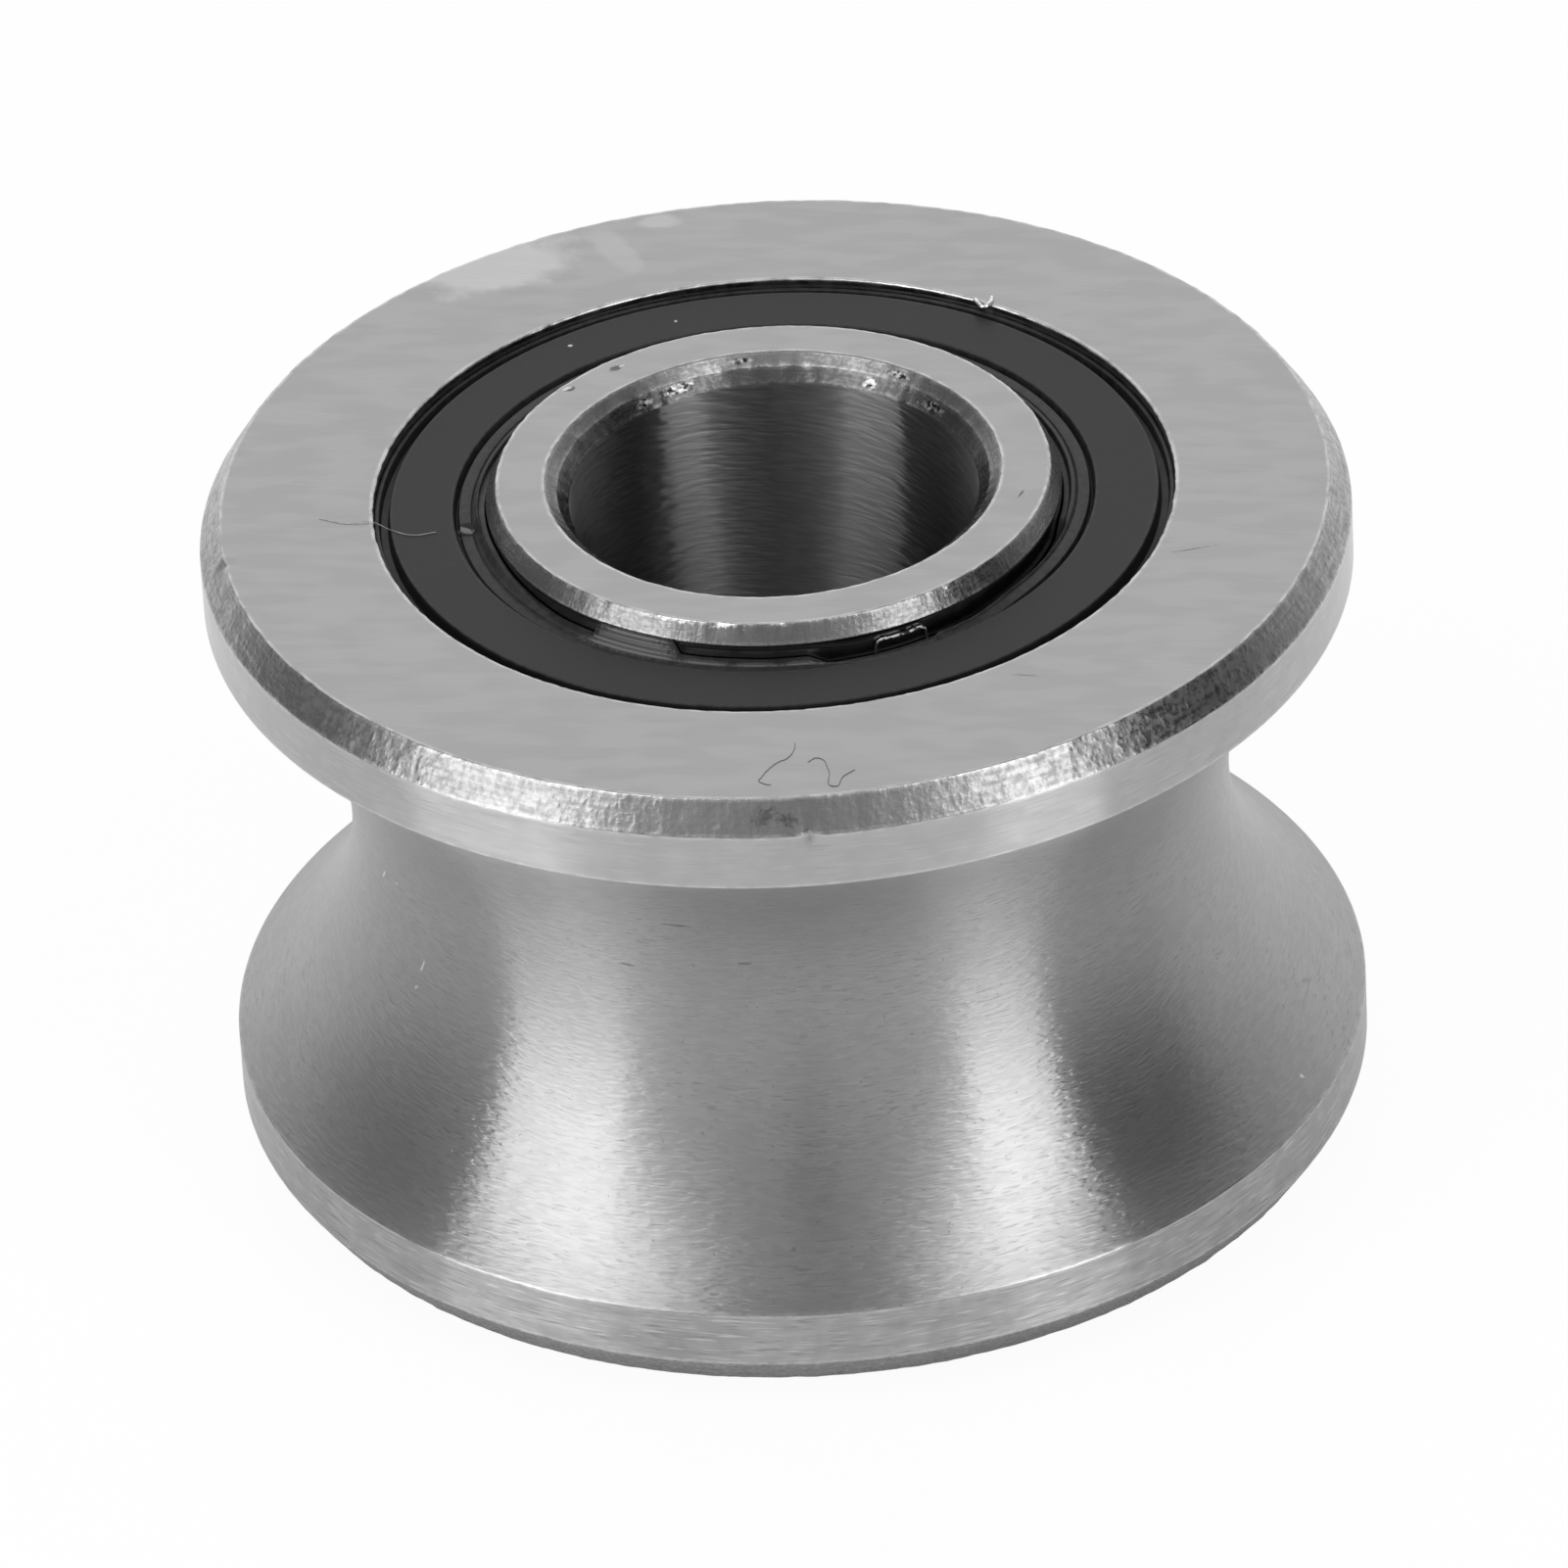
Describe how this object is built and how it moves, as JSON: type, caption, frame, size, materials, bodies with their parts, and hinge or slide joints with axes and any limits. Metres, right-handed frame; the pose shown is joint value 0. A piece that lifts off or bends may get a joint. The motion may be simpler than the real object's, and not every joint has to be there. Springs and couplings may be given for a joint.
{
  "type": "u-groove track roller bearing",
  "caption": "Sealed double-row track roller whose grooved steel outer ring runs along a round rail, with a proud inner ring and a plain through bore for a bolt or shaft.",
  "frame": {"origin": "centre of the inner ring's lower face, on the bearing's axis, where the part stands", "axes": "+Z along the bearing's axis, up; X and Y lie in the plane of the lower face"},
  "size_m": [0.0226, 0.0224, 0.0143],
  "materials": {
    "wheel_steel": "satin",
    "ring_steel": "satin",
    "seal_rubber": "satin",
    "cage_nylon": "satin",
    "ball_steel": "polished"
  },
  "bodies": {
    "hub": {"inner_ring": "ring_steel"},
    "wheel": {"outer_ring": "wheel_steel", "upper_seal": "seal_rubber", "lower_seal": "seal_rubber"},
    "upper_row": {"upper_cage": "cage_nylon"},
    "lower_row": {"lower_cage": "cage_nylon"},
    "upper_ball_1": {"upper_ball_1": "ball_steel"},
    "upper_ball_2": {"upper_ball_2": "ball_steel"},
    "upper_ball_3": {"upper_ball_3": "ball_steel"},
    "upper_ball_4": {"upper_ball_4": "ball_steel"},
    "upper_ball_5": {"upper_ball_5": "ball_steel"},
    "upper_ball_6": {"upper_ball_6": "ball_steel"},
    "upper_ball_7": {"upper_ball_7": "ball_steel"},
    "upper_ball_8": {"upper_ball_8": "ball_steel"},
    "upper_ball_9": {"upper_ball_9": "ball_steel"},
    "lower_ball_1": {"lower_ball_1": "ball_steel"},
    "lower_ball_2": {"lower_ball_2": "ball_steel"},
    "lower_ball_3": {"lower_ball_3": "ball_steel"},
    "lower_ball_4": {"lower_ball_4": "ball_steel"},
    "lower_ball_5": {"lower_ball_5": "ball_steel"},
    "lower_ball_6": {"lower_ball_6": "ball_steel"},
    "lower_ball_7": {"lower_ball_7": "ball_steel"},
    "lower_ball_8": {"lower_ball_8": "ball_steel"},
    "lower_ball_9": {"lower_ball_9": "ball_steel"}
  },
  "joints": [
    {"name": "wheel_spin", "type": "hinge", "parent": "hub", "child": "wheel", "pos_m": [0, 0, 0.00715], "axis": [0, 0, 1], "continuous": true},
    {"name": "upper_row_orbit", "type": "hinge", "parent": "hub", "child": "upper_row", "pos_m": [0, 0, 0.0103], "axis": [0, 0, 1], "continuous": true},
    {"name": "lower_row_orbit", "type": "hinge", "parent": "hub", "child": "lower_row", "pos_m": [0, 0, 0.004], "axis": [0, 0, 1], "continuous": true},
    {"name": "upper_ball_1_roll", "type": "hinge", "parent": "upper_row", "child": "upper_ball_1", "pos_m": [0.00606, 0.00221, 0.0103], "axis": [0, 0, 1], "continuous": true},
    {"name": "upper_ball_2_roll", "type": "hinge", "parent": "upper_row", "child": "upper_ball_2", "pos_m": [0.00323, 0.00559, 0.0103], "axis": [0, 0, 1], "continuous": true},
    {"name": "upper_ball_3_roll", "type": "hinge", "parent": "upper_row", "child": "upper_ball_3", "pos_m": [-0.00112, 0.00635, 0.0103], "axis": [0, 0, 1], "continuous": true},
    {"name": "upper_ball_4_roll", "type": "hinge", "parent": "upper_row", "child": "upper_ball_4", "pos_m": [-0.00494, 0.00415, 0.0103], "axis": [0, 0, 1], "continuous": true},
    {"name": "upper_ball_5_roll", "type": "hinge", "parent": "upper_row", "child": "upper_ball_5", "pos_m": [-0.00645, 0, 0.0103], "axis": [0, 0, 1], "continuous": true},
    {"name": "upper_ball_6_roll", "type": "hinge", "parent": "upper_row", "child": "upper_ball_6", "pos_m": [-0.00494, -0.00415, 0.0103], "axis": [0, 0, 1], "continuous": true},
    {"name": "upper_ball_7_roll", "type": "hinge", "parent": "upper_row", "child": "upper_ball_7", "pos_m": [-0.00112, -0.00635, 0.0103], "axis": [0, 0, 1], "continuous": true},
    {"name": "upper_ball_8_roll", "type": "hinge", "parent": "upper_row", "child": "upper_ball_8", "pos_m": [0.00323, -0.00559, 0.0103], "axis": [0, 0, 1], "continuous": true},
    {"name": "upper_ball_9_roll", "type": "hinge", "parent": "upper_row", "child": "upper_ball_9", "pos_m": [0.00606, -0.00221, 0.0103], "axis": [0, 0, 1], "continuous": true},
    {"name": "lower_ball_1_roll", "type": "hinge", "parent": "lower_row", "child": "lower_ball_1", "pos_m": [0.00606, 0.00221, 0.004], "axis": [0, 0, 1], "continuous": true},
    {"name": "lower_ball_2_roll", "type": "hinge", "parent": "lower_row", "child": "lower_ball_2", "pos_m": [0.00323, 0.00559, 0.004], "axis": [0, 0, 1], "continuous": true},
    {"name": "lower_ball_3_roll", "type": "hinge", "parent": "lower_row", "child": "lower_ball_3", "pos_m": [-0.00112, 0.00635, 0.004], "axis": [0, 0, 1], "continuous": true},
    {"name": "lower_ball_4_roll", "type": "hinge", "parent": "lower_row", "child": "lower_ball_4", "pos_m": [-0.00494, 0.00415, 0.004], "axis": [0, 0, 1], "continuous": true},
    {"name": "lower_ball_5_roll", "type": "hinge", "parent": "lower_row", "child": "lower_ball_5", "pos_m": [-0.00645, 0, 0.004], "axis": [0, 0, 1], "continuous": true},
    {"name": "lower_ball_6_roll", "type": "hinge", "parent": "lower_row", "child": "lower_ball_6", "pos_m": [-0.00494, -0.00415, 0.004], "axis": [0, 0, 1], "continuous": true},
    {"name": "lower_ball_7_roll", "type": "hinge", "parent": "lower_row", "child": "lower_ball_7", "pos_m": [-0.00112, -0.00635, 0.004], "axis": [0, 0, 1], "continuous": true},
    {"name": "lower_ball_8_roll", "type": "hinge", "parent": "lower_row", "child": "lower_ball_8", "pos_m": [0.00323, -0.00559, 0.004], "axis": [0, 0, 1], "continuous": true},
    {"name": "lower_ball_9_roll", "type": "hinge", "parent": "lower_row", "child": "lower_ball_9", "pos_m": [0.00606, -0.00221, 0.004], "axis": [0, 0, 1], "continuous": true}
  ],
  "couplings": [
    {"joint": "upper_row_orbit", "follows": "wheel_spin", "ratio": 0.59306},
    {"joint": "lower_row_orbit", "follows": "wheel_spin", "ratio": 0.59306},
    {"joint": "upper_ball_1_roll", "follows": "wheel_spin", "ratio": 2.6151},
    {"joint": "upper_ball_2_roll", "follows": "wheel_spin", "ratio": 2.6151},
    {"joint": "upper_ball_3_roll", "follows": "wheel_spin", "ratio": 2.6151},
    {"joint": "upper_ball_4_roll", "follows": "wheel_spin", "ratio": 2.6151},
    {"joint": "upper_ball_5_roll", "follows": "wheel_spin", "ratio": 2.6151},
    {"joint": "upper_ball_6_roll", "follows": "wheel_spin", "ratio": 2.6151},
    {"joint": "upper_ball_7_roll", "follows": "wheel_spin", "ratio": 2.6151},
    {"joint": "upper_ball_8_roll", "follows": "wheel_spin", "ratio": 2.6151},
    {"joint": "upper_ball_9_roll", "follows": "wheel_spin", "ratio": 2.6151},
    {"joint": "lower_ball_1_roll", "follows": "wheel_spin", "ratio": 2.6151},
    {"joint": "lower_ball_2_roll", "follows": "wheel_spin", "ratio": 2.6151},
    {"joint": "lower_ball_3_roll", "follows": "wheel_spin", "ratio": 2.6151},
    {"joint": "lower_ball_4_roll", "follows": "wheel_spin", "ratio": 2.6151},
    {"joint": "lower_ball_5_roll", "follows": "wheel_spin", "ratio": 2.6151},
    {"joint": "lower_ball_6_roll", "follows": "wheel_spin", "ratio": 2.6151},
    {"joint": "lower_ball_7_roll", "follows": "wheel_spin", "ratio": 2.6151},
    {"joint": "lower_ball_8_roll", "follows": "wheel_spin", "ratio": 2.6151},
    {"joint": "lower_ball_9_roll", "follows": "wheel_spin", "ratio": 2.6151}
  ]
}
